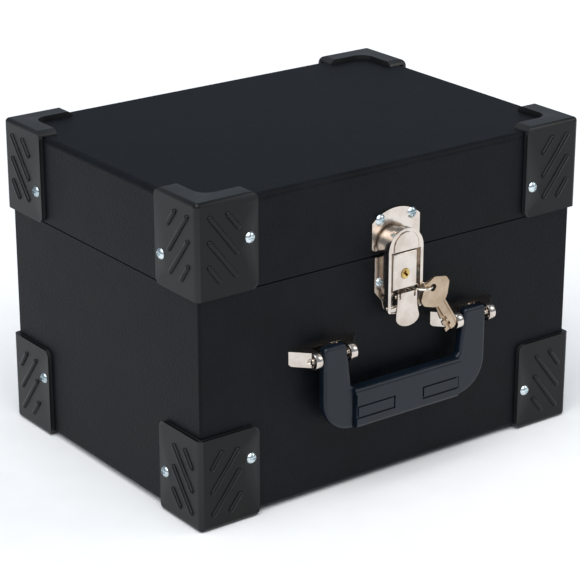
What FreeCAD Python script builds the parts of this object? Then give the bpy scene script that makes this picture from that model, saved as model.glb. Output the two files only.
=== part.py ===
import FreeCAD
import Part
import math
import os

# Lockable covered-plywood carrying case with a lift lid. Millimetres.
# X runs along the front, Y from front to back, Z up. The origin is on the table,
# under the middle of the whole case.

# ---- the box
box_width = 320.0
box_depth = 234.0
body_height = 159.0
lid_height = 63.0
seam_gap = 0.8
ply = 6.0
cover = 0.8
lining = 1.0
upright_round = 2.0
lid_round = 4.5

# ---- moulded corner protectors
corner_wall = 3.0
corner_flange = 3.5
corner_reach = 45.0
corner_drop = 62.5
corner_arm = 12.0
corner_arm_round = 10.0
corner_upright_round = 3.4
corner_face_round = 5.5
corner_top_round = 2.9
rib_radius = 1.9
rib_sink = 0.3
rib_lines = [
    ((24.5, 10.8), (32.3, 20.6)),
    ((10.7, 11.1), (31.3, 37.6)),
    ((10.2, 27.6), (30.4, 53.2)),
    ((10.0, 44.3), (17.5, 54.5)),
]
corner_screw_in = 41.5
corner_screw_deep = 44.0
corner_screw_shallow = 30.0

# ---- screws and pins
screw_head = 4.0
screw_head_height = 2.2
screw_shank = 1.5
corner_screw_length = 8.5
plate_screw_length = 6.5
recess_width = 1.1
recess_span = 4.4
recess_depth = 1.3
hole_clearance = 0.05
pin_clearance = 0.05
pin_end_play = 0.1

# ---- back hinges
hinge_offset = 4.2
knuckle_radius = 3.0
hinge_pin = 1.25
hinge_pin_head = 2.2
hinge_width = 50.0
hinge_spacing = 170.0
hinge_leaf = 1.2
hinge_leaf_height = 24.0
hinge_screw_apart = 32.0
hinge_screw_down = 15.0
knuckle_gap = 0.3
hinge_leaf_start = 4.5
hinge_web_start = 6.0

# ---- latch
sheet = 1.2
strike_half = 20.5
strike_low = 4.0
strike_shoulder = 24.0
strike_top = 32.0
strike_screw_x = 13.5
strike_screw_up = 25.5
hook_half = 12.9
hook_centre_up = 5.0
hook_reach = 8.5
hook_bead = 0.3
base_half = 18.4
base_top = -0.7
base_taper = -25.0
base_low = -44.5
base_low_half = 12.0
base_rim = 2.2
base_rim_wide = 0.7
base_screw_x = 14.1
base_screw_head = 3.4
base_screw_down = 18.8
bail_half = 14.9
bail_reach = 12.4
bail_return = 6.5
bail_arm_return = 4.4
bail_low = -38.6
bail_window_half = 12.6
bail_window_top = 4.3
bail_step_down = -20.5
web_half = 10.2
web_up = 2.2
web_rise = 0.5
web_margin = 0.6
web_groove = 0.9
web_groove_depth = 0.7
lock_half = 10.2
lock_low = -23.2
lock_high = 2.9
lock_reach = 11.8
lever_pivot_out = 11.4
lever_pivot_down = 27.9
bail_pivot_out = 10.3
bail_pivot_down = 35.2
lever_half = 8.4
lever_wide_half = 10.0
lever_top = -24.9
lever_wide_down = 42.5
lever_low = 48.7
lever_plate_out = 13.4
lever_tilt_out = 16.2
lever_flange = 4.6
ear_half = 7.0
ear_radius = 1.8
ear_slot_gap = 0.2
tongue_half = 2.5
tongue_high = -19.3
pin_radius = 0.9
pin_head_radius = 1.3
pin_head = 0.5
plug_radius = 3.5
plug_down = 12.3
plug_back = 7.2
plug_clearance = 0.05
keyway_half = 0.9
keyway_deep = 4.0
keyway_turn = 45.0
cam_length = 8.4
cam_half = 2.0

# ---- keys and ring
ring_radius = 6.5
ring_wire = 0.75
ring_hang = 25.6
ring_from_lever = 0.95
ring_forward = 0.7
key_thick = 1.4
key_hole = 2.7
key_hole_drop = 0.8
key_bow_half = 13.0
key_bow = 21.0
key_length = 44.0
key_blade_half = 3.6
key_bow_round = 3.6
key_bow_crown = 5.0
key_bow_shoulder = 7.0
key_bow_side = 5.0
key_hole_margin = 3.2
key_groove = 1.2
key_groove_depth = 0.5
key_lean = 32.0
key_lean_back = 25.0
key_front_turn = -38.0
key_back_turn = -22.0

# ---- carry handle and its brackets
handle_half = 70.5
handle_arm = 19.0
handle_arm_low = 23.0
handle_front = 15.5
handle_thick = 7.5
handle_top = 109.5
handle_low = 46.5
grip_top = 75.5
handle_corner = 24.0
handle_edge = 2.4
grip_bulge = 3.0
handle_pivot_up = 101.5
handle_pivot_out = 11.0
trunnion_radius = 2.0
groove_width = 2.2
groove_depth = 1.5
groove_x = 46.0
inlay_low = 53.5
inlay_high = 63.0
inlay_inner = 12.0
inlay_depth = 1.0
inlay_line = 1.3
bracket_back_half = 28.0
bracket_front_half = 17.2
bracket_ledge_up = 107.5
bracket_skirt = 10.5
bracket_out = 11.0
bracket_wing_round = 2.0
bracket_ledge_web = 3.0
prong_wide = 5.2
prong_gap_half = 12.0
hook_clearance = 0.1
rivet_radius = 2.0
rivet_head = 3.6
rivet_head_height = 1.4
rivet_apart = 28.0
rivet_down = 6.0
backing_half = 21.0
backing_height = 16.0
backing_thick = 1.5

# ---- values that follow from the sizes above
floor_gap = corner_flange
body_low = floor_gap
seam = floor_gap + body_height
lid_low = seam + seam_gap
lid_high = seam + lid_height
half_w = box_width / 2.0
front = -box_depth / 2.0
back = box_depth / 2.0
wall = cover + ply
inside = wall + lining
bracket_x = handle_half - handle_arm / 2.0
arm_middle = bail_reach - bail_arm_return / 2.0
ring_reach = arm_middle + ring_forward + ring_radius + ring_wire
front_reach = max(handle_front + grip_bulge, lever_tilt_out, ring_reach)
back_reach = hinge_offset + knuckle_radius
shift_y = (front_reach - back_reach) / 2.0

X = FreeCAD.Vector(1, 0, 0)
Y = FreeCAD.Vector(0, 1, 0)
Z = FreeCAD.Vector(0, 0, 1)

os.makedirs("parts", exist_ok=True)


def point(x, y, z):
    return FreeCAD.Vector(x, y, z)


def block(x0, x1, y0, y1, z0, z1):
    return Part.makeBox(x1 - x0, y1 - y0, z1 - z0, point(x0, y0, z0))


def rod(radius, start, direction, length):
    return Part.makeCylinder(radius, length, start, direction)


def joined(shapes):
    result = shapes[0].fuse(shapes[1:])
    return result.removeSplitter()


def group(shapes):
    return Part.makeCompound(shapes)


def save(name, shape):
    moved = shape.copy()
    moved.translate(point(0, shift_y, 0))
    moved.exportStep("parts/" + name + ".step")


def front_prism(points, out0, out1):
    # A plate outline given as (x, z), standing parallel to the front face.
    corners = [point(x, front - out0, z) for x, z in points]
    face = Part.Face(Part.makePolygon(corners + [corners[0]]))
    return face.extrude(point(0, out0 - out1, 0))


def flat_prism(points, z0, z1):
    corners = [point(x, y, z0) for x, y in points]
    face = Part.Face(Part.makePolygon(corners + [corners[0]]))
    return face.extrude(point(0, 0, z1 - z0))


def side_prism(points, x0, x1):
    # An outline given as (distance out from the front face, z).
    corners = [point(x0, front - out, z) for out, z in points]
    face = Part.Face(Part.makePolygon(corners + [corners[0]]))
    return face.extrude(point(x1 - x0, 0, 0))


def round_edges(shape, radius, wanted):
    edges = [edge for edge in shape.Edges if wanted(edge)]
    return shape.makeFillet(radius, edges)


def is_line_along(edge, axis):
    first = edge.Vertexes[0].Point
    last = edge.Vertexes[-1].Point
    return (last - first).cross(axis).Length < 1e-6 and (last - first).Length > 1e-6


def at_height(edge, z):
    return abs(edge.BoundBox.ZMin - z) < 1e-5 and abs(edge.BoundBox.ZMax - z) < 1e-5


def cross_recess(tip, direction):
    # The cross drive in a screw head; tip is the middle of the head's outer face.
    size = point(recess_span, recess_width, recess_depth)
    bars = []
    for turn in (0, 90):
        bar = Part.makeBox(size.x, size.y, size.z + 1.0, point(-size.x / 2, -size.y / 2, -size.z))
        bar.rotate(point(0, 0, 0), Z, turn)
        bars.append(bar)
    cutter = joined(bars)
    cutter.Placement = FreeCAD.Placement(tip, FreeCAD.Rotation(Z, direction))
    return cutter


def screw(seat, direction, length, head_radius=screw_head):
    # A pan-head screw; seat is on the surface under the head, direction points out of the wall.
    dome_radius = (head_radius ** 2 + screw_head_height ** 2) / (2 * screw_head_height)
    inward = direction * -1.0
    ball = Part.makeSphere(dome_radius, seat + direction * (screw_head_height - dome_radius))
    disc = rod(head_radius, seat, direction, screw_head_height + 1.0)
    head = ball.common(disc)
    shank = rod(screw_shank, seat + direction * 0.2, inward, length + 0.2)
    body = joined([head, shank])
    return body.cut(cross_recess(seat + direction * screw_head_height, direction))


def screw_hole(seat, direction, length):
    # The hole a screw goes down, a little wider and deeper than its shank.
    start = seat + direction * 20.0
    return rod(screw_shank + hole_clearance, start, direction * -1.0, length + 20.0 + hole_clearance)


# ---------------------------------------------------------------- corner protectors

def is_outer_rim(edge):
    # True for the top edges along a protector's two outer faces and round its upright.
    box = edge.BoundBox
    on_side = abs(box.XMin + corner_wall) < 1e-5 and box.XMax < corner_wall
    on_front = abs(box.YMin + corner_wall) < 1e-5 and box.YMax < corner_wall
    return on_side or on_front


def corner_shape(deep_on_front):
    # The protector of the left front lid corner: the box's top corner is at (0, 0, 0).
    # Returned with the two seats of its screws.
    low = -corner_drop
    outer = block(-corner_wall, corner_reach, -corner_wall, corner_reach, low, corner_flange)
    outer = outer.cut(block(0, 200, 0, 200, -200, 0))
    outer = outer.cut(block(corner_arm, 200, corner_arm, 200, -1, 200))
    outer = round_edges(outer, corner_arm_round, lambda e: is_line_along(e, Z)
                        and abs(e.BoundBox.XMin - corner_arm) < 1e-5
                        and abs(e.BoundBox.YMin - corner_arm) < 1e-5)
    outer = round_edges(outer, corner_upright_round, lambda e: is_line_along(e, Z)
                        and abs(e.BoundBox.XMin + corner_wall) < 1e-5
                        and abs(e.BoundBox.YMin + corner_wall) < 1e-5)
    outer = round_edges(outer, corner_top_round,
                        lambda e: at_height(e, corner_flange) and is_outer_rim(e))
    trim_front = face_corner_trim(1, low)
    trim_left = face_corner_trim(0, low)
    outer = outer.cut(trim_front).cut(trim_left)
    ribs = []
    for start, end in rib_lines:
        for on_front in (True, False):
            ends = []
            for along, down in (start, end):
                u = along - corner_wall
                z = corner_flange - down
                depth = rib_sink - corner_wall
                ends.append(point(u, depth, z) if on_front else point(depth, u, z))
            ribs.append(rod(rib_radius, ends[0], ends[1] - ends[0], (ends[1] - ends[0]).Length))
            ribs.append(Part.makeSphere(rib_radius, ends[0]))
            ribs.append(Part.makeSphere(rib_radius, ends[1]))
    inner = block(0, 200, 0, 200, -200, 0)
    ribs = [rib.cut(inner) for rib in ribs]
    outer = joined([outer] + ribs)
    u = corner_screw_in - corner_wall
    front_down = corner_screw_deep if deep_on_front else corner_screw_shallow
    side_down = corner_screw_shallow if deep_on_front else corner_screw_deep
    seats = [
        (point(u, -corner_wall, corner_flange - front_down), Y * -1.0),
        (point(-corner_wall, u, corner_flange - side_down), X * -1.0),
    ]
    for seat, direction in seats:
        outer = outer.cut(screw_hole(seat, direction, corner_screw_length))
    return outer, seats


def face_corner_trim(index, low):
    # Cuts the free corners of one protector wall to a round.
    trims = []
    for z, sense in ((low, 1), (corner_flange, -1)):
        reach = corner_reach
        r = corner_face_round
        if index == 1:
            piece = block(reach - r, reach + 1, -corner_wall - 1, corner_wall * 9, z - 1, z + 1)
            centre = point(reach - r, -corner_wall - 1, z + sense * r)
            axis = Y
        else:
            piece = block(-corner_wall - 1, corner_wall * 9, reach - r, reach + 1, z - 1, z + 1)
            centre = point(-corner_wall - 1, reach - r, z + sense * r)
            axis = X
        box = piece.BoundBox
        z0 = z if sense > 0 else z - r
        square = block(box.XMin, box.XMax, box.YMin, box.YMax, z0 - (1 if sense > 0 else 0),
                       z0 + r + (0 if sense > 0 else 1))
        trims.append(square.cut(rod(r, centre, axis, 60)))
    return group(trims)


def place_corner(shape, seats, side, end, top):
    # side -1 left, +1 right; end -1 front, +1 back; top True for the lid.
    def move(v, is_direction):
        x = v.x * -side
        y = v.y * -end
        z = v.z if top else -v.z
        if is_direction:
            return point(x, y, z)
        return point(x + side * half_w, y + end * back, z + (lid_high if top else body_low))

    placed = shape.copy()
    origin = point(0, 0, 0)
    if side > 0:
        placed = placed.mirror(origin, X)
    if end > 0:
        placed = placed.mirror(origin, Y)
    if not top:
        placed = placed.mirror(origin, Z)
    placed.translate(move(origin, False))
    return placed, [(move(seat, False), move(direction, True)) for seat, direction in seats]


corner_deep_front = corner_shape(True)
corner_deep_side = corner_shape(False)
corner_plan = [
    ("lid_corner_front_left", -1, -1, True, False),
    ("lid_corner_front_right", 1, -1, True, True),
    ("lid_corner_back_left", -1, 1, True, False),
    ("lid_corner_back_right", 1, 1, True, True),
    ("body_corner_front_left", -1, -1, False, True),
    ("body_corner_front_right", 1, -1, False, False),
    ("body_corner_back_left", -1, 1, False, False),
    ("body_corner_back_right", 1, 1, False, True),
]
corner_seats = {"lid": [], "body": []}
for name, side, end, top, deep_on_front in corner_plan:
    source = corner_deep_front if deep_on_front else corner_deep_side
    placed, seats = place_corner(source[0], source[1], side, end, top)
    save(name, placed)
    corner_seats["lid" if top else "body"].extend(seats)

# ---------------------------------------------------------------- where every fixing goes

strike_seats = [(point(x, front - sheet, seam + strike_screw_up), Y * -1.0)
                for x in (-strike_screw_x, strike_screw_x)]
base_seats = [(point(x, front - sheet, seam - base_screw_down), Y * -1.0)
              for x in (-base_screw_x, base_screw_x)]
hinge_centres = [-hinge_spacing / 2.0, hinge_spacing / 2.0]
hinge_body_seats = []
hinge_lid_seats = []
for middle in hinge_centres:
    for x in (middle - hinge_screw_apart / 2.0, middle + hinge_screw_apart / 2.0):
        hinge_body_seats.append((point(x, back + hinge_leaf, seam - hinge_screw_down), Y))
        hinge_lid_seats.append((point(x, back + hinge_leaf, lid_low + hinge_screw_down), Y))
bracket_ledge = floor_gap + bracket_ledge_up
rivet_centres = []
for middle in (-bracket_x, bracket_x):
    for x in (middle - rivet_apart / 2.0, middle + rivet_apart / 2.0):
        rivet_centres.append(point(x, front, bracket_ledge - rivet_down))

body_holes = [screw_hole(s, d, corner_screw_length) for s, d in corner_seats["body"]]
body_holes += [screw_hole(s, d, plate_screw_length) for s, d in base_seats + hinge_body_seats]
body_holes += [rod(rivet_radius + hole_clearance, c - Y * 20, Y, 60) for c in rivet_centres]
lid_holes = [screw_hole(s, d, corner_screw_length) for s, d in corner_seats["lid"]]
lid_holes += [screw_hole(s, d, plate_screw_length) for s, d in strike_seats + hinge_lid_seats]


def drilled(shape, holes):
    box = shape.BoundBox
    near = [hole for hole in holes if box.intersect(hole.BoundBox)]
    return shape.cut(near) if near else shape


# ---------------------------------------------------------------- plywood shells

def rounded_box(left, near, low, high, closed_z, radius):
    # A box about the middle of the case with its uprights and its closed face rounded.
    box = block(left, -left, near, -near, low, high)
    return round_edges(box, radius, lambda e: at_height(e, closed_z) or is_line_along(e, Z))


def shell(prefix, low, high, closed_low, holes):
    # Four walls and one closing panel of plywood, its covering and its lining.
    # closed_low is True for the body (closed below) and False for the lid.
    wood_low = low + cover
    wood_high = high - cover
    left = -half_w + cover
    near = front + cover
    close_low = wood_low if closed_low else wood_high - ply
    closed_z = low if closed_low else high
    radius = upright_round if closed_low else lid_round
    outer = rounded_box(-half_w, front, low, high, closed_z, radius)
    wood = rounded_box(left, near, wood_low, wood_high, wood_low if closed_low else wood_high,
                       radius - cover)
    walls = {
        "front_panel": block(left, -left, near, near + ply, wood_low, wood_high),
        "back_panel": block(left, -left, -near - ply, -near, wood_low, wood_high),
        "left_panel": block(left, left + ply, near + ply, -near - ply, wood_low, wood_high),
        "right_panel": block(-left - ply, -left, near + ply, -near - ply, wood_low, wood_high),
    }
    closing = block(left + ply, -left - ply, near + ply, -near - ply, close_low, close_low + ply)
    walls["bottom_panel" if closed_low else "top_panel"] = closing
    for part_name, panel in walls.items():
        save(prefix + "_" + part_name, drilled(panel.common(wood), holes))
    bore = block(left + ply, -left - ply, near + ply, -near - ply,
                 wood_low if closed_low else low - 1, high + 1 if closed_low else wood_high)
    save(prefix + "_covering", drilled(outer.cut(wood).cut(bore), holes))
    room = block(left + ply, -left - ply, near + ply, -near - ply,
                 close_low + ply if closed_low else low, high if closed_low else close_low)
    hollow = block(left + ply + lining, -left - ply - lining, near + ply + lining,
                   -near - ply - lining,
                   close_low + ply + lining if closed_low else low - 1,
                   high + 1 if closed_low else close_low - lining)
    save(prefix + "_lining", drilled(room.cut(hollow), holes))


shell("body", body_low, seam, True, body_holes)
shell("lid", lid_low, lid_high, False, lid_holes)
save("body_corner_screws", group([screw(s, d, corner_screw_length) for s, d in corner_seats["body"]]))
save("lid_corner_screws", group([screw(s, d, corner_screw_length) for s, d in corner_seats["lid"]]))

# ---------------------------------------------------------------- back hinges

hinge_z = (seam + lid_low) / 2.0
hinge_y = back + hinge_offset
knuckles = 5


def hinge_leaf_shape(middle, for_body):
    # A leaf lies on the back face; its web cranks out to the knuckles on the pin.
    start = middle - hinge_width / 2.0
    pitch = hinge_width / knuckles
    if for_body:
        plate = block(start, start + hinge_width, back, back + hinge_leaf,
                      seam - hinge_leaf_height, seam - hinge_leaf_start)
        edge = seam - hinge_web_start
        owned = (0, 2, 4)
    else:
        plate = block(start, start + hinge_width, back, back + hinge_leaf,
                      lid_low + hinge_leaf_start, lid_low + hinge_leaf_height)
        edge = lid_low + hinge_web_start
        owned = (1, 3)
    pieces = [plate]
    for index in owned:
        x0 = start + index * pitch + (knuckle_gap / 2.0 if index > 0 else 0.0)
        x1 = start + (index + 1) * pitch - (knuckle_gap / 2.0 if index < knuckles - 1 else 0.0)
        pieces.append(rod(knuckle_radius, point(x0, hinge_y, hinge_z), X, x1 - x0))
        outline = [(0.0, edge), (hinge_leaf, edge),
                   (hinge_offset + knuckle_radius - hinge_leaf, hinge_z),
                   (hinge_offset - knuckle_radius + 0.2, hinge_z),
                   (0.0, seam - hinge_leaf_start if for_body else lid_low + hinge_leaf_start)]
        corners = [point(x0, back + out, z) for out, z in outline]
        web = Part.Face(Part.makePolygon(corners + [corners[0]])).extrude(point(x1 - x0, 0, 0))
        pieces.append(web)
    leaf = joined(pieces)
    leaf = leaf.cut(rod(hinge_pin + pin_clearance, point(start - 1, hinge_y, hinge_z), X, hinge_width + 2))
    seats = hinge_body_seats if for_body else hinge_lid_seats
    for seat, direction in seats:
        if abs(seat.x - middle) < hinge_width:
            leaf = leaf.cut(screw_hole(seat, direction, plate_screw_length))
    return leaf


for side_name, middle in (("left", hinge_centres[0]), ("right", hinge_centres[1])):
    save("hinge_body_leaf_" + side_name, hinge_leaf_shape(middle, True))
    save("hinge_lid_leaf_" + side_name, hinge_leaf_shape(middle, False))
    pin_start = middle - hinge_width / 2.0 - pin_end_play
    pin_long = hinge_width + 2 * pin_end_play
    pin = joined([
        rod(hinge_pin, point(pin_start, hinge_y, hinge_z), X, pin_long),
        rod(hinge_pin_head, point(pin_start - pin_head, hinge_y, hinge_z), X, pin_head),
        rod(hinge_pin_head, point(pin_start + pin_long, hinge_y, hinge_z), X, pin_head),
    ])
    save("hinge_pin_" + side_name, pin)
save("hinge_body_screws", group([screw(s, d, plate_screw_length) for s, d in hinge_body_seats]))
save("hinge_lid_screws", group([screw(s, d, plate_screw_length) for s, d in hinge_lid_seats]))

# ---------------------------------------------------------------- latch: strike on the lid

def arch(half, centre_z, low_z, steps=32):
    # An outline with straight sides and a half-round top.
    points = [(-half, low_z)]
    for step in range(steps + 1):
        angle = math.pi - math.pi * step / steps
        points.append((half * math.cos(angle), centre_z + half * math.sin(angle)))
    points.append((half, low_z))
    return points


def crowned(half, shoulder_z, top_z, low_z, steps=16):
    # An outline with straight sides and a shallow arched top.
    rise = top_z - shoulder_z
    radius = (half ** 2 + rise ** 2) / (2.0 * rise)
    sweep = math.asin(half / radius)
    points = [(-half, low_z)]
    for step in range(steps + 1):
        angle = -sweep + 2.0 * sweep * step / steps
        points.append((radius * math.sin(angle), top_z - radius + radius * math.cos(angle)))
    points.append((half, low_z))
    return points


strike_plate = front_prism(
    crowned(strike_half, seam + strike_shoulder, seam + strike_top, seam + strike_low), 0, sheet)
strike_plate = round_edges(strike_plate, 3.0, lambda e: is_line_along(e, Y)
                           and abs(e.BoundBox.ZMin - seam - strike_low) < 1e-5)
hook_z = seam + hook_centre_up
hook = front_prism(arch(hook_half, hook_z, seam + strike_low), sheet, hook_reach)
bead = front_prism(arch(hook_half + hook_bead, hook_z, seam + strike_low),
                   hook_reach - 1.0, hook_reach)
hook_room = front_prism(arch(hook_half - sheet, hook_z, seam + strike_low - 1), 0, hook_reach - sheet)
strike = joined([strike_plate, hook, bead]).cut(hook_room)
for seat, direction in strike_seats:
    strike = strike.cut(screw_hole(seat, direction, plate_screw_length))
save("latch_strike", strike)
save("latch_strike_screws", group([screw(s, d, plate_screw_length) for s, d in strike_seats]))

# ---------------------------------------------------------------- latch: base plate on the body

def tapered(half, top_z, taper_z, low_z, low_half, steps=16):
    # A plate outline: straight sides, a taper and a round lower end.
    points = [(-half, top_z), (half, top_z), (half, taper_z)]
    for step in range(steps + 1):
        angle = -math.pi * step / steps
        points.append((low_half * math.cos(angle), low_z + low_half + low_half * math.sin(angle)))
    points.append((-half, taper_z))
    return points


base_outline = tapered(base_half, seam + base_top, seam + base_taper, seam + base_low, base_low_half)
rim = base_rim_wide
base_inner = tapered(base_half - rim, seam + base_top + 1.0, seam + base_taper - rim * 0.4,
                     seam + base_low + rim, base_low_half - rim)
base_plate = front_prism(base_outline, 0, base_rim).cut(front_prism(base_inner, sheet, base_rim + 1))
lever_pivot = point(0, front - lever_pivot_out, seam - lever_pivot_down)
bail_pivot = point(0, front - bail_pivot_out, seam - bail_pivot_down)
ear_outline = [(sheet, lever_pivot.z - ear_radius), (lever_pivot_out, lever_pivot.z - ear_radius),
               (lever_pivot_out, lever_pivot.z + ear_radius), (sheet, lever_pivot.z + ear_radius)]
ears = []
for x0 in (-ear_half, ear_half - sheet):
    ears.append(side_prism(ear_outline, x0, x0 + sheet))
    ears.append(rod(ear_radius, lever_pivot + X * x0, X, sheet))
base_plate = joined([base_plate] + ears)
base_plate = base_plate.cut(rod(pin_radius + pin_clearance, lever_pivot - X * 30, X, 60))
for seat, direction in base_seats:
    base_plate = base_plate.cut(screw_hole(seat, direction, plate_screw_length))
save("latch_base", base_plate)
save("latch_base_screws", group([screw(s, d, plate_screw_length, base_screw_head)
                                 for s, d in base_seats]))

# ---------------------------------------------------------------- latch: lock housing, plug and cam

plug_z = seam - plug_down
plug_centre = point(0, front - lock_reach, plug_z)
lock_case = block(-lock_half, lock_half, front - lock_reach, front - sheet,
                  seam + lock_low, seam + lock_high)
lock_case = round_edges(lock_case, 0.8, lambda e: abs(e.BoundBox.YMax - front + lock_reach) < 1e-5)
lock_case = lock_case.cut(block(-lock_half + sheet, lock_half - sheet, front - lock_reach + sheet,
                                front, seam + lock_low - 1, seam + lock_high - sheet))
barrel = rod(plug_radius + sheet, plug_centre + Y * 0.5, Y, lock_reach - plug_back - 0.5)
lock_case = joined([lock_case, barrel])
lock_case = lock_case.cut(rod(plug_radius + plug_clearance, plug_centre - Y * 2, Y, 20))
save("lock_housing", lock_case)
plug = rod(plug_radius, plug_centre - Y * 0.3, Y, lock_reach - plug_back + 0.3)
keyway_back = plug_centre.y + keyway_deep
keyway = joined([
    block(-keyway_half, keyway_half, plug_centre.y - 1, keyway_back,
          plug_z - plug_radius * 0.75, plug_z + plug_radius * 0.5),
    block(-keyway_half, keyway_half * 2.0, plug_centre.y - 1, keyway_back,
          plug_z + plug_radius * 0.2, plug_z + plug_radius * 0.5),
])
keyway.rotate(plug_centre, Y, -keyway_turn)
save("lock_plug", plug.cut(keyway))
cam_y = front - plug_back
cam = joined([block(0, cam_length - cam_half, cam_y, cam_y + 1.0, plug_z - cam_half, plug_z + cam_half),
              rod(cam_half, point(cam_length - cam_half, cam_y, plug_z), Y, 1.0),
              rod(plug_radius - 0.2, point(0, cam_y, plug_z), Y, 1.0)])
save("lock_cam", cam)

# ---------------------------------------------------------------- latch: lever and its pin

slope_top = lever_plate_out
slope_low = lever_tilt_out - sheet


def lever_outline(steps=20):
    wide_z = seam - lever_wide_down
    low_z = seam - lever_low
    points = [(-lever_half, seam + lever_top), (lever_half, seam + lever_top),
              (lever_half, wide_z + 9.0), (lever_wide_half, wide_z)]
    for step in range(1, steps):
        angle = -math.pi * step / steps
        points.append((lever_wide_half * math.cos(angle), wide_z + (wide_z - low_z) * math.sin(angle)))
    points.append((-lever_wide_half, wide_z))
    points.append((-lever_half, wide_z + 9.0))
    return points


lever_bend = bail_pivot.z - 4.0
lever_sheet = [(slope_top, seam + lever_top), (slope_top, lever_bend),
               (slope_low, seam - lever_low), (slope_low + sheet, seam - lever_low),
               (slope_top + sheet, lever_bend), (slope_top + sheet, seam + lever_top)]
lever_plate = side_prism(lever_sheet, -20, 20).common(front_prism(lever_outline(), 5, 25))
flange_back = slope_top - lever_flange
lever_cheek = [(slope_top + 0.2, seam + lever_top), (flange_back + 2.4, seam + lever_top),
               (flange_back, lever_pivot.z), (flange_back, bail_pivot.z - 1.0),
               (slope_top - 1.0, seam - lever_wide_down + 9.0),
               (slope_top + 0.6, seam - lever_wide_down + 9.0)]
cheeks = []
for x0 in (-lever_half, lever_half - sheet):
    cheeks.append(side_prism(lever_cheek, x0, x0 + sheet))
tongue_out = lever_pivot_out - 1.2
tongue = side_prism([(tongue_out, seam + tongue_high), (tongue_out - 1.2, seam + tongue_high),
                     (tongue_out - 1.2, lever_pivot.z - 2.4), (slope_top + 0.2, lever_pivot.z - 2.4),
                     (slope_top + 0.2, lever_pivot.z - 1.6), (tongue_out, lever_pivot.z - 1.6)],
                    -tongue_half, tongue_half)
tongue = tongue.cut(rod(pin_radius + pin_clearance + 0.2, lever_pivot - X * 30, X, 60))
for side in (-1, 1):
    middle = side * (ear_half - sheet / 2.0)
    reach = sheet / 2.0 + ear_slot_gap
    lever_plate = lever_plate.cut(block(middle - reach, middle + reach, front - 30, front,
                                        lever_pivot.z - 1.0, seam))
lever = joined([lever_plate] + cheeks + [tongue])
lever = lever.cut(rod(pin_radius + pin_clearance, lever_pivot - X * 30, X, 60))
lever = lever.cut(rod(pin_radius + pin_clearance, bail_pivot - X * 30, X, 60))
save("latch_lever", lever)


def headed_pin(centre, half_length):
    start = centre - X * (half_length + pin_end_play)
    long = 2.0 * (half_length + pin_end_play)
    return joined([rod(pin_radius, start, X, long),
                   rod(pin_head_radius, start - X * pin_head, X, pin_head),
                   rod(pin_head_radius, start + X * long, X, pin_head)])


save("latch_lever_pin", headed_pin(lever_pivot, lever_half))

# ---------------------------------------------------------------- latch: bail and its pin

bail_top_z = seam + hook_centre_up
bail_solid = front_prism(arch(bail_half, bail_top_z, seam + bail_low), 0, bail_reach)
bail_solid = round_edges(bail_solid, 2.4, lambda e: is_line_along(e, Y)
                         and abs(e.BoundBox.ZMin - seam - bail_low) < 1e-5)
bail_room = front_prism(arch(bail_half - sheet, bail_top_z, seam + bail_low - 5), -1, bail_reach - sheet)
bail = bail_solid.cut(bail_room)
bail = bail.cut(block(-50, 50, front - bail_return, front + 50, 0, 400))
step_z = seam + bail_step_down
bail = bail.cut(block(-50, 50, front - bail_reach + bail_arm_return, front + 50, 0, step_z))
bail = bail.cut(block(-bail_window_half, bail_window_half, front - bail_reach - 5, front,
                      0, seam + bail_window_top))
web_low = seam + bail_window_top + web_margin
web_outline = arch(web_half, bail_top_z + web_up, web_low)
groove = front_prism(arch(web_half + web_groove, bail_top_z + web_up, web_low),
                     bail_reach - web_groove_depth, bail_reach + sheet)
bail = bail.cut(groove.cut(front_prism(web_outline, 0, bail_reach + sheet)))
web = front_prism(web_outline, bail_reach - web_groove_depth, bail_reach + web_rise)
bail = joined([bail, web])
bail = bail.cut(rod(pin_radius + pin_clearance, bail_pivot - X * 30, X, 60))
save("latch_bail", bail)
save("latch_bail_pin", headed_pin(bail_pivot, bail_half))

# ---------------------------------------------------------------- ring and keys

ring_x = lever_half + ring_from_lever + ring_wire / 2.0 + ring_radius
ring_centre = point(ring_x, front - arm_middle - ring_forward, seam - ring_hang)
save("key_ring", Part.makeTorus(ring_radius, ring_wire, ring_centre, Z))


def key_shape(bits):
    # A flat stamped key hanging along -Z, its hole around the pivot at (0, 0, 0).
    hole_z = -key_hole_drop
    top = hole_z + key_hole + key_hole_margin
    low = top - key_bow
    tip = top - key_length
    half = key_bow_half
    shoulder = top - key_bow_shoulder
    waist = shoulder - key_bow_side
    bow = [(key_bow_crown, top), (half, shoulder), (half, waist), (half * 0.55, low + 2.4),
           (key_blade_half + 1.2, low + 0.8), (key_blade_half, low)]
    outline = [(-key_bow_crown, top)] + bow
    outline += [(key_blade_half, tip + 3.0), (key_blade_half - 2.2, tip), (key_blade_half - 5.0, tip)]
    z = tip
    for width, rise in bits:
        outline.append((-width, z))
        z += rise
        outline.append((-width, z))
    outline.append((-key_blade_half, z))
    outline += [(-x, zz) for x, zz in reversed(bow[1:])]
    corners = [point(x, -key_thick / 2.0, zz) for x, zz in outline]
    blank = Part.Face(Part.makePolygon(corners + [corners[0]])).extrude(Y * key_thick)
    blank = round_edges(blank, key_bow_round, lambda e: is_line_along(e, Y)
                        and e.BoundBox.ZMin > waist - 0.1)
    blank = blank.cut(rod(key_hole, point(0, -5, hole_z), Y, 10))
    groove = block(key_blade_half - 2.2 * key_groove, key_blade_half - 1.2 * key_groove,
                   -key_thick / 2.0 - 1, -key_thick / 2.0 + key_groove_depth, tip - 1, low)
    return blank.cut(groove)


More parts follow.
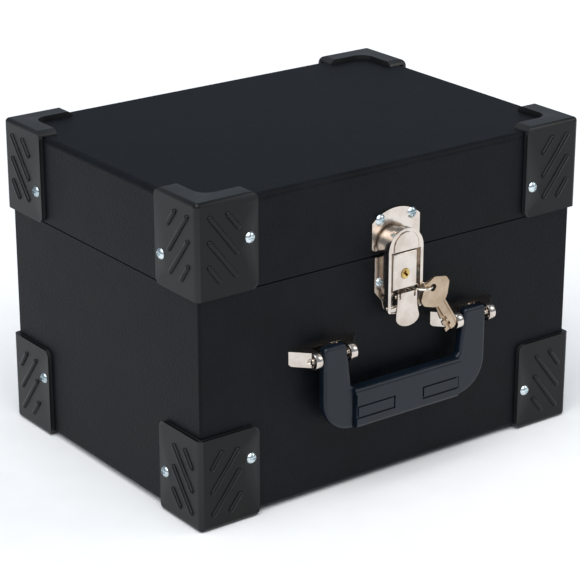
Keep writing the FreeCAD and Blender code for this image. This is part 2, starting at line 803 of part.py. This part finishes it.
key_bits = {"key_front": [(3.6, 4.0), (2.0, 3.0), (3.6, 2.5), (2.4, 3.0)],
            "key_back": [(3.6, 3.0), (2.2, 2.5), (3.6, 3.5), (1.8, 2.5)]}
for key_name, lean, turn in (("key_front", key_lean, key_front_turn),
                             ("key_back", key_lean_back, key_back_turn)):
    key = key_shape(key_bits[key_name])
    key.rotate(point(0, 0, 0), Y, -lean)
    angle = math.radians(turn)
    key.translate(ring_centre + point(math.cos(angle), math.sin(angle), 0) * ring_radius)
    save(key_name, key)

# ---------------------------------------------------------------- carry handle

handle_y = front - handle_front
pivot_z = floor_gap + handle_pivot_up
pivot_y = front - handle_pivot_out


def handle_outline():
    top = floor_gap + handle_top
    low = floor_gap + handle_low
    grip = floor_gap + grip_top
    half = handle_half
    outline = [(-half, top)]
    for step in range(13):
        angle = math.pi + math.pi / 2.0 * step / 12
        outline.append((-half + handle_corner + handle_corner * math.cos(angle),
                        low + handle_corner + handle_corner * math.sin(angle)))
    for step in range(13):
        angle = -math.pi / 2.0 + math.pi / 2.0 * step / 12
        outline.append((half - handle_corner + handle_corner * math.cos(angle),
                        low + handle_corner + handle_corner * math.sin(angle)))
    outline += [(half, top), (half - handle_arm, top), (half - handle_arm_low, grip + 3.0),
                (half - handle_arm_low - 3.0, grip), (-half + handle_arm_low + 3.0, grip),
                (-half + handle_arm_low, grip + 3.0), (-half + handle_arm, top)]
    return outline


grip_shape = front_prism(handle_outline(), handle_front - handle_thick, handle_front)
grip_shape = round_edges(grip_shape, 3.0, lambda e: is_line_along(e, Y)
                         and abs(e.BoundBox.ZMax - floor_gap - handle_top) < 1e-5)
grip_back = front - handle_front + handle_thick
for face_y in (handle_y, grip_back):
    grip_shape = round_edges(grip_shape, handle_edge, lambda e: abs(e.BoundBox.YMax - face_y) < 1e-5
                             and abs(e.BoundBox.YMin - face_y) < 1e-5)
grip_face = handle_y - grip_bulge
grip_bar = block(-groove_x, groove_x, grip_face, grip_back - handle_edge,
                 floor_gap + handle_low, floor_gap + grip_top)
grip_bar = round_edges(grip_bar, grip_bulge, lambda e: is_line_along(e, X)
                       and abs(e.BoundBox.YMin - grip_face) < 1e-5)
grip_shape = joined([grip_shape, grip_bar])
for side in (-1, 1):
    x = side * groove_x
    grip_shape = grip_shape.cut(block(x - groove_width / 2.0, x + groove_width / 2.0,
                                      handle_y - 5, handle_y + groove_depth,
                                      floor_gap, floor_gap + grip_top - 4.0))
    start = side * inlay_inner
    end = side * (groove_x - groove_width / 2.0)
    left, right = min(start, end), max(start, end)
    strip = block(left, right, grip_face - 1, grip_face + inlay_depth,
                  floor_gap + inlay_low, floor_gap + inlay_high)
    island = block(left + inlay_line, right - inlay_line, grip_face - 2, grip_face + 5,
                   floor_gap + inlay_low + inlay_line, floor_gap + inlay_high - inlay_line)
    grip_shape = grip_shape.cut(strip.cut(island))
for side in (-1, 1):
    middle = side * (handle_half - handle_arm / 2.0)
    hole = rod(trunnion_radius + pin_clearance, point(middle - 40, pivot_y, pivot_z), X, 80)
    keep = block(middle - handle_arm, middle + handle_arm, front - 60, front, 0, 400)
    grip_shape = grip_shape.cut(hole.common(keep))
save("handle_grip", grip_shape)

# ---------------------------------------------------------------- handle brackets and pins

def bracket(middle):
    ledge_low = bracket_ledge - sheet
    skirt_low = bracket_ledge - bracket_skirt
    back_half = bracket_back_half
    ledge = flat_prism([(middle - back_half, front), (middle + back_half, front),
                        (middle + bracket_front_half, front - bracket_out),
                        (middle - bracket_front_half, front - bracket_out)], ledge_low, bracket_ledge)
    gap = block(middle - prong_gap_half, middle + prong_gap_half, front - bracket_out - 9,
                front - bracket_ledge_web, 0, 400)
    ledge = ledge.cut(gap)
    run = back_half - bracket_front_half
    turn = bracket_wing_round
    foot = block(middle - back_half, middle + back_half, front - turn, front, skirt_low, skirt_low + turn)
    foot = foot.cut(rod(turn, point(middle - back_half, front - turn, skirt_low + turn), X, 2 * back_half))
    pieces = [ledge]
    for side in (-1, 1):
        slope = sheet * math.hypot(run, bracket_out) / bracket_out
        outer = [(middle + side * back_half, front),
                 (middle + side * bracket_front_half, front - bracket_out),
                 (middle + side * (bracket_front_half - slope), front - bracket_out),
                 (middle + side * (back_half - slope), front)]
        pieces.append(flat_prism(outer, skirt_low, bracket_ledge).cut(foot))
        x_out = middle + side * bracket_front_half
        x_in = middle + side * (bracket_front_half - prong_wide)
        x0, x1 = min(x_out, x_in), max(x_out, x_in)
        centre = point(x0, pivot_y, pivot_z)
        hook_inner = trunnion_radius + hook_clearance
        hook_outer = bracket_ledge - pivot_z
        curl = rod(hook_outer, centre, X, x1 - x0)
        open_back = block(x0 - 1, x1 + 1, pivot_y, pivot_y + 20, 0, pivot_z - hook_inner + 0.3)
        under = block(x0 - 1, x1 + 1, pivot_y + 0.1, pivot_y + 20, 0, pivot_z)
        curl = curl.cut(open_back).cut(under)
        curl = curl.cut(rod(hook_outer - sheet, centre - X, X, x1 - x0 + 2))
        saddle = rod(hook_inner + sheet, centre, X, x1 - x0)
        bridge = block(x0, x1, pivot_y - 1.2, pivot_y + 1.2, pivot_z + hook_inner, bracket_ledge - 0.3)
        pieces += [curl, saddle, bridge]
    plate = block(middle - back_half + bracket_wing_round, middle + back_half - bracket_wing_round,
                  front - sheet, front, skirt_low, bracket_ledge)
    pieces.append(plate)
    shape = joined(pieces)
    shape = shape.cut(rod(trunnion_radius + hook_clearance, point(middle - 60, pivot_y, pivot_z), X, 120))
    for centre in rivet_centres:
        if abs(centre.x - middle) < back_half:
            shape = shape.cut(rod(rivet_radius + hole_clearance, centre - Y * 5, Y, 10))
    return shape


for side_name, middle in (("left", -bracket_x), ("right", bracket_x)):
    save("handle_bracket_" + side_name, bracket(middle))
    reach = bracket_front_half + 0.6
    pin = rod(trunnion_radius, point(middle - reach, pivot_y, pivot_z), X, 2 * reach)
    save("handle_pin_" + side_name, pin)
    plate = block(middle - backing_half, middle + backing_half, front + inside,
                  front + inside + backing_thick, bracket_ledge - rivet_down - backing_height / 2.0,
                  bracket_ledge - rivet_down + backing_height / 2.0)
    for centre in rivet_centres:
        if abs(centre.x - middle) < backing_half:
            plate = plate.cut(rod(rivet_radius + hole_clearance, centre - Y * 5, Y, 40))
    save("handle_backing_" + side_name, plate)

rivets = []
for centre in rivet_centres:
    far = inside + backing_thick
    rivets.append(joined([
        rod(rivet_radius, centre - Y * sheet, Y, sheet + far),
        rod(rivet_head, centre - Y * (sheet + rivet_head_height), Y, rivet_head_height),
        rod(rivet_head, centre + Y * far, Y, rivet_head_height),
    ]))
save("handle_rivets", group(rivets))
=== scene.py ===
import math

import bmesh
import bpy
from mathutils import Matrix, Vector


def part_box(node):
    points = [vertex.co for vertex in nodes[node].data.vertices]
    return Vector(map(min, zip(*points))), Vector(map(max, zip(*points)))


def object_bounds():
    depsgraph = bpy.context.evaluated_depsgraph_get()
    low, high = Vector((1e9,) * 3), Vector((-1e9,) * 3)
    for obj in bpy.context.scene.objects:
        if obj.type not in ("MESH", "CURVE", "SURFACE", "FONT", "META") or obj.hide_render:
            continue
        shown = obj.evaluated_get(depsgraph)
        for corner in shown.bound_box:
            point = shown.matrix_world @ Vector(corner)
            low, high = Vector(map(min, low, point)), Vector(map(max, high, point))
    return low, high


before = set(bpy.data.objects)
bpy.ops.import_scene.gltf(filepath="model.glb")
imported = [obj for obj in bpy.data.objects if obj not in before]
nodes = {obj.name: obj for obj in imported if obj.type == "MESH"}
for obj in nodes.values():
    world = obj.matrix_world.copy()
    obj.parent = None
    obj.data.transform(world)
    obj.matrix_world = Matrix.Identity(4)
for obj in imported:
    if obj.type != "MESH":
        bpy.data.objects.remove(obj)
cad_box = [list(corner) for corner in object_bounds()]


# ---------------------------------------------------------------- plywood panels
# Ten panels of 6 mm birch plywood, glued edge to edge: the carcass of body and lid.
# The pale sanded face and its long veneer grain show where the lining is lifted.

def linear(code):
    """A colour written as sRGB hex, as the linear numbers that a shader takes."""
    channels = [int(code[i:i + 2], 16) / 255.0 for i in (1, 3, 5)]
    values = [c / 12.92 if c <= 0.04045 else ((c + 0.055) / 1.055) ** 2.4 for c in channels]
    return (*values, 1.0)


def new_finish(name):
    """An empty material, its node tree and its main shader."""
    material = bpy.data.materials.new(name)
    material.use_nodes = True
    return material, material.node_tree, material.node_tree.nodes["Principled BSDF"]


def add(tree, kind, settings=(), links=(), stops=()):
    """Adds one node with its settings and its links; stops are the places and colours of a ramp."""
    node = tree.nodes.new("ShaderNode" + kind)
    for name, value in dict(settings).items():
        if isinstance(name, int) or name in node.inputs:
            node.inputs[name].default_value = value
        else:
            setattr(node, name, value)
    for name, source in dict(links).items():
        socket = source.outputs[0] if hasattr(source, "outputs") else source
        tree.links.new(socket, node.inputs[name])
    for index, (place, code) in enumerate(stops):
        node.color_ramp.elements[index].position = place
        node.color_ramp.elements[index].color = linear(code)
    return node


def wire(tree, shader, links):
    """Links a node to each named socket of the main shader."""
    for name, source in links.items():
        tree.links.new(source.outputs[0], shader.inputs[name])


def finish_nodes(names, material):
    """Gives CAD nodes one material in place of what they came with."""
    for name in names:
        slots = nodes[name].data.materials
        slots.clear()
        slots.append(material)


VENEER_LINE = 0.0016
plywood, tree, shader = new_finish("birch plywood, sanded")
spot = add(tree, "TexCoord").outputs["Object"]
along = add(tree, "Mapping", {"Scale": (0.06, 0.06, 1.0)}, {"Vector": spot})
grain = add(tree, "TexNoise", {"Scale": 1.0 / VENEER_LINE, "Detail": 5.0, "Roughness": 0.6},
            {"Vector": along})
wire(tree, shader, {
    "Base Color": add(tree, "ValToRGB", (), {"Fac": grain}, ((0.3, "#b08a5c"), (0.7, "#dcc193"))),
    "Roughness": add(tree, "MapRange", {"To Min": 0.55, "To Max": 0.7}, {"Value": grain}),
    "Normal": add(tree, "Bump", {"Strength": 0.3, "Distance": 0.00005}, {"Height": grain})})
finish_nodes([name for name in nodes if name.endswith("_panel")], plywood)


# ---------------------------------------------------------------- covering
# Black vinyl cloth glued round the outside of body and lid and turned in over the rims.
# Calendered with a fine pebble grain, it is near black with a faint cool, dusty sheen.

PEBBLE = 0.0015
PORE = 0.0006
SCUFF = 0.030
vinyl, tree, shader = new_finish("vinyl cloth, pebble grained")
spot = add(tree, "TexCoord").outputs["Object"]
pebbles = add(tree, "TexVoronoi", {"feature": "SMOOTH_F1", "Scale": 1.0 / PEBBLE, "Randomness": 0.95,
                                   "Smoothness": 0.35}, {"Vector": spot})
pores = add(tree, "TexNoise", {"Scale": 1.0 / PORE, "Detail": 3.0}, {"Vector": spot})
scuffs = add(tree, "TexNoise", {"Scale": 1.0 / SCUFF, "Detail": 5.0, "Roughness": 0.62}, {"Vector": spot})
grain_tone = add(tree, "Math", {"operation": "MULTIPLY_ADD", 1: -0.35}, {0: pebbles, 2: scuffs})
pebble_bump = add(tree, "Bump", {"invert": True, "Strength": 0.55, "Distance": 0.0003}, {"Height": pebbles})
wire(tree, shader, {
    "Base Color": add(tree, "ValToRGB", (), {"Fac": grain_tone}, ((0.15, "#040508"), (0.6, "#0e1117"))),
    "Roughness": add(tree, "MapRange", {"To Min": 0.42, "To Max": 0.60}, {"Value": scuffs}),
    "Normal": add(tree, "Bump", {"Strength": 0.35, "Distance": 0.00006},
                  {"Height": pores, "Normal": pebble_bump})})
shader.inputs["Specular IOR Level"].default_value = 0.14
finish_nodes(["body_covering", "lid_covering"], vinyl)


# ---------------------------------------------------------------- lining
# Thin grey-black felt glued inside body and lid; its short fibres make it quite matt.

FELT_FIBRE = 0.0007
NAP = 0.030
felt, tree, shader = new_finish("lining felt, pressed")
spot = add(tree, "TexCoord").outputs["Object"]
fibres = add(tree, "TexNoise", {"Scale": 1.0 / FELT_FIBRE, "Detail": 6.0, "Roughness": 0.75,
                                "Distortion": 1.4}, {"Vector": spot})
nap = add(tree, "TexNoise", {"Scale": 1.0 / NAP, "Detail": 3.0}, {"Vector": spot})
felt_tone = add(tree, "Math", {"operation": "MULTIPLY_ADD", 1: 0.5}, {0: nap, 2: fibres})
wire(tree, shader, {
    "Base Color": add(tree, "ValToRGB", (), {"Fac": felt_tone}, ((0.4, "#15161a"), (1.0, "#3a3c42"))),
    "Roughness": add(tree, "MapRange", {"To Min": 0.85, "To Max": 1.0}, {"Value": nap}),
    "Normal": add(tree, "Bump", {"Strength": 0.7, "Distance": 0.00025}, {"Height": fibres})})
shader.inputs["Sheen Weight"].default_value = 0.35
shader.inputs["Sheen Roughness"].default_value = 0.5
finish_nodes(["body_lining", "lid_lining"], felt)


# ---------------------------------------------------------------- corner protectors
# Eight injection-moulded black polypropylene corners with raised slanting ribs.
# A fine spark texture, satin, with a painted highlight: ribs and edges that stand out are painted paler.

SPARK = 0.0007
FLOW = 0.014
polypropylene, tree, shader = new_finish("polypropylene, spark-textured")
spot = add(tree, "TexCoord").outputs["Object"]
spark = add(tree, "TexNoise", {"Scale": 1.0 / SPARK, "Detail": 3.0, "Roughness": 0.6}, {"Vector": spot})
flow = add(tree, "TexNoise", {"Scale": 1.0 / FLOW, "Detail": 4.0}, {"Vector": spot})
# Painted highlight: convex ribs and edges are painted a paler grey, standing in for the light they catch.
edges = add(tree, "NewGeometry").outputs["Pointiness"]
painted_highlight_mask = add(tree, "MapRange", {"From Min": 0.51, "From Max": 0.62}, {"Value": edges})
moulded = add(tree, "ValToRGB", (), {"Fac": flow}, ((0.35, "#040505"), (0.7, "#0b0b0b")))
painted_highlight_colour = add(tree, "Mix", {"data_type": "RGBA", 7: linear("#2c2d2d")}, {0: painted_highlight_mask, 6: moulded})
tree.links.new(painted_highlight_colour.outputs[2], shader.inputs["Base Color"])
wire(tree, shader, {
    "Roughness": add(tree, "MapRange", {"To Min": 0.26, "To Max": 0.40}, {"Value": flow}),
    "Normal": add(tree, "Bump", {"Strength": 0.5, "Distance": 0.00006}, {"Height": spark})})
shader.inputs["Specular IOR Level"].default_value = 0.24
corners = [name for name in nodes if "_corner_" in name and not name.endswith("screws")]
finish_nodes(corners, polypropylene)


# ---------------------------------------------------------------- latch and bracket stampings
# Strike, base plate, bail, lever, lock housing and handle brackets: pressed mild steel,
# nickel plated. A warm white mirror, clouded by handling and by faint drawing lines.

WELD_REACH = 0.000002
SHARP_ANGLE = 32.0
CLOUD = 0.012


def soften(names, width):
    """Welds a CAD node's loose triangles and rounds its sharp edges."""
    for name in names:
        weld = nodes[name].modifiers.new("weld", "WELD")
        weld.merge_threshold = WELD_REACH
        bevel = nodes[name].modifiers.new("rounded edges", "BEVEL")
        bevel.width = width
        bevel.segments = 2
        bevel.limit_method = "ANGLE"
        bevel.angle_limit = math.radians(SHARP_ANGLE)
        bevel.harden_normals = True


def plated(name, dark, light, smooth, rough, line, along=(1.0, 1.0, 0.06)):
    """A plated metal: clouds of two tones, roughness between two values and lines of a real width."""
    material, tree, shader = new_finish(name)
    spot = add(tree, "TexCoord").outputs["Object"]
    drawn = add(tree, "Mapping", {"Scale": along}, {"Vector": spot})
    clouds = add(tree, "TexNoise", {"Scale": 1.0 / CLOUD, "Detail": 4.0, "Roughness": 0.55},
                 {"Vector": spot})
    lines = add(tree, "TexNoise", {"Scale": 1.0 / line, "Detail": 3.0}, {"Vector": drawn})
    wire(tree, shader, {
        "Base Color": add(tree, "ValToRGB", (), {"Fac": clouds}, ((0.30, dark), (0.60, light))),
        "Roughness": add(tree, "MapRange", {"To Min": rough, "To Max": smooth}, {"Value": clouds}),
        "Normal": add(tree, "Bump", {"Strength": 0.2, "Distance": 0.00001}, {"Height": lines})})
    shader.inputs["Metallic"].default_value = 1.0
    return material


nickel = plated("nickel plate on pressed steel", "#c6b9ad", "#dcd3ca", 0.12, 0.22, 0.00035)
finish_nodes(["latch_strike", "latch_base", "latch_bail", "latch_lever", "lock_housing", "lock_cam",
              "handle_bracket_left", "handle_bracket_right"], nickel)
soften(["latch_bail", "latch_lever", "lock_housing"], 0.00035)
soften(["latch_strike", "latch_base", "handle_bracket_left", "handle_bracket_right"], 0.00025)


# ---------------------------------------------------------------- screws
# Pan-head steel screws with a cross recess, bright zinc plated: a cooler, bluer metal
# than the nickel of the latch.

bright_zinc = plated("bright zinc plate, blue passivated", "#a9b9bf", "#dfe9ec", 0.18, 0.30, 0.0003,
                     (1, 1, 1))
screws = [name for name in nodes if name.endswith("_screws")]
finish_nodes(screws, bright_zinc)
soften(screws, 0.0002)


# ---------------------------------------------------------------- pins, rivets and key ring
# Turned pins, tubular rivets and a bent wire ring, all nickel plated and brighter
# than the stampings, because the wire and rod are drawn smooth before plating.

bright_nickel = plated("nickel plate on drawn steel", "#d6cfc4", "#f2ede5", 0.10, 0.18, 0.00025, (1, 1, 1))
finish_nodes(["latch_lever_pin", "latch_bail_pin", "handle_pin_left", "handle_pin_right", "handle_rivets",
              "key_ring"], bright_nickel)


# ---------------------------------------------------------------- lock plug
# A turned brass plug with a keyway. Bare brass: yellow, in two clouded tones
# with a faint fine bump.

brass = plated("brass, turned", "#8d6c33", "#e3c67c", 0.18, 0.34, 0.0003, (1, 1, 1))
finish_nodes(["lock_plug"], brass)


# ---------------------------------------------------------------- keys
# Two flat keys stamped from strip and nickel plated, with cut bits and a milled groove.
# Their thin plating is tinted brown by handling, and duller than the latch's.

key_plate = plated("nickel plate on key blanks", "#9f8a72", "#bfab95", 0.24, 0.36, 0.0004, (1, 1, 0.2))
finish_nodes(["key_front", "key_back"], key_plate)
soften(["key_front", "key_back"], 0.00018)


# ---------------------------------------------------------------- back hinges and backing plates
# Two five-knuckle hinges and two inner backing plates of zinc-plated steel.
# Zinc is greyer and rougher than nickel, with a faint crystalline cloud.

dull_zinc = plated("zinc plate on pressed steel", "#8f9294", "#c4c7c8", 0.30, 0.46, 0.0005)
ironmongery = [name for name in nodes if name.startswith(("hinge_body_leaf", "hinge_lid_leaf", "hinge_pin",
                                                          "handle_backing"))]
finish_nodes(ironmongery, dull_zinc)
soften([name for name in ironmongery if "pin" not in name], 0.0002)


# ---------------------------------------------------------------- carry handle
# One injection-moulded handle in blue-black nylon: two flat arms and a thicker grip.
# A fine mould texture with a soft satin shine; the grip's face has two framed fields.

MOULD_TEXTURE = 0.0006
SHRINKAGE = 0.018
nylon, tree, shader = new_finish("nylon, moulded blue-black")
spot = add(tree, "TexCoord").outputs["Object"]
texture = add(tree, "TexNoise", {"Scale": 1.0 / MOULD_TEXTURE, "Detail": 3.0}, {"Vector": spot})
shrinkage = add(tree, "TexNoise", {"Scale": 1.0 / SHRINKAGE, "Detail": 4.0}, {"Vector": spot})
wire(tree, shader, {
    "Base Color": add(tree, "ValToRGB", (), {"Fac": shrinkage}, ((0.35, "#07101a"), (0.68, "#0e1924"))),
    "Roughness": add(tree, "MapRange", {"To Min": 0.26, "To Max": 0.42}, {"Value": shrinkage}),
    "Normal": add(tree, "Bump", {"Strength": 0.4, "Distance": 0.00004}, {"Height": texture})})
shader.inputs["Specular IOR Level"].default_value = 0.36
finish_nodes(["handle_grip"], nylon)


# ---------------------------------------------------------------- floor, light and camera
# A white paper floor under a white sky that lights the case only dimly. A broad soft light
# stands above the left front and a small soft box to the right.

FLOOR_SIZE = 12.0
FLOOR_GAP = 0.0002
PAPER_FIBRE = 0.025
mesh = bpy.data.meshes.new("floor")
sheet = bmesh.new()
bmesh.ops.create_grid(sheet, x_segments=1, y_segments=1, size=FLOOR_SIZE / 2.0)
bmesh.ops.translate(sheet, vec=(0.0, 0.0, cad_box[0][2] - FLOOR_GAP), verts=sheet.verts)
sheet.to_mesh(mesh)
sheet.free()
floor = bpy.data.objects.new("floor", mesh)
bpy.context.scene.collection.objects.link(floor)
paper, tree, shader = new_finish("background paper, white")
spot = add(tree, "TexCoord").outputs["Object"]
fibre = add(tree, "TexNoise", {"Scale": 1.0 / PAPER_FIBRE, "Detail": 3.0}, {"Vector": spot})
wire(tree, shader, {
    "Base Color": add(tree, "ValToRGB", (), {"Fac": fibre}, ((0.0, "#f6f6f6"), (1.0, "#fcfcfc")))})
shader.inputs["Roughness"].default_value = 0.9
shader.inputs["Specular IOR Level"].default_value = 0.1
mesh.materials.append(paper)

SKY_CAST = "#8f98a3"
AIM_HEIGHT = 0.11
scene = bpy.context.scene
scene.view_settings.view_transform = "Standard"
scene.world = bpy.data.worlds.new("studio")
scene.world.use_nodes = True
tree = scene.world.node_tree
rays = add(tree, "LightPath").outputs["Is Camera Ray"]
sky = add(tree, "Mix", {"data_type": "RGBA", 6: linear(SKY_CAST), 7: (1.0, 1.0, 1.0, 1.0)}, {0: rays})
tree.links.new(sky.outputs[2], tree.nodes["Background"].inputs["Color"])

case_low, case_high = [Vector(corner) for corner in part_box("body_covering")]
middle = Vector((0.0, (case_low.y + case_high.y) / 2.0, AIM_HEIGHT))


def soft_light(kind, name, away, width, power, colour):
    """A lamp aimed at the middle of the case; width is a disc's size or a sky patch's angle."""
    light = bpy.data.lights.new(name, kind)
    light.energy = power
    light.color = linear(colour)[:3]
    if kind == "SUN":
        light.angle = math.radians(width)
    else:
        light.size = width
    lamp = bpy.data.objects.new(name, light)
    lamp.location = middle + Vector(away)
    lamp.rotation_euler = Vector(away).to_track_quat("Z", "Y").to_euler()
    scene.collection.objects.link(lamp)


soft_light("SUN", "soft sky above the left front", (-0.9, -0.7, 2.1), 70.0, 2.75, "#ffffff")
soft_light("AREA", "soft box right", (1.6, -1.3, 1.3), 1.0, 8.0, "#fff8ee")

CAMERA_FROM_CORNER = Vector((-0.7354, -1.0913, 0.6704))
CAMERA_AZIMUTH = -36.504
CAMERA_ELEVATION = 20.932
LENS = 137.98
camera = bpy.data.cameras.new("camera")
camera.sensor_width = 36.0
camera.lens = LENS
camera.clip_start = 0.01
viewer = bpy.data.objects.new("camera", camera)
viewer.location = case_low + CAMERA_FROM_CORNER
viewer.rotation_euler = (math.radians(90.0 - CAMERA_ELEVATION), 0.0, math.radians(CAMERA_AZIMUTH))
scene.collection.objects.link(viewer)
scene.camera = viewer
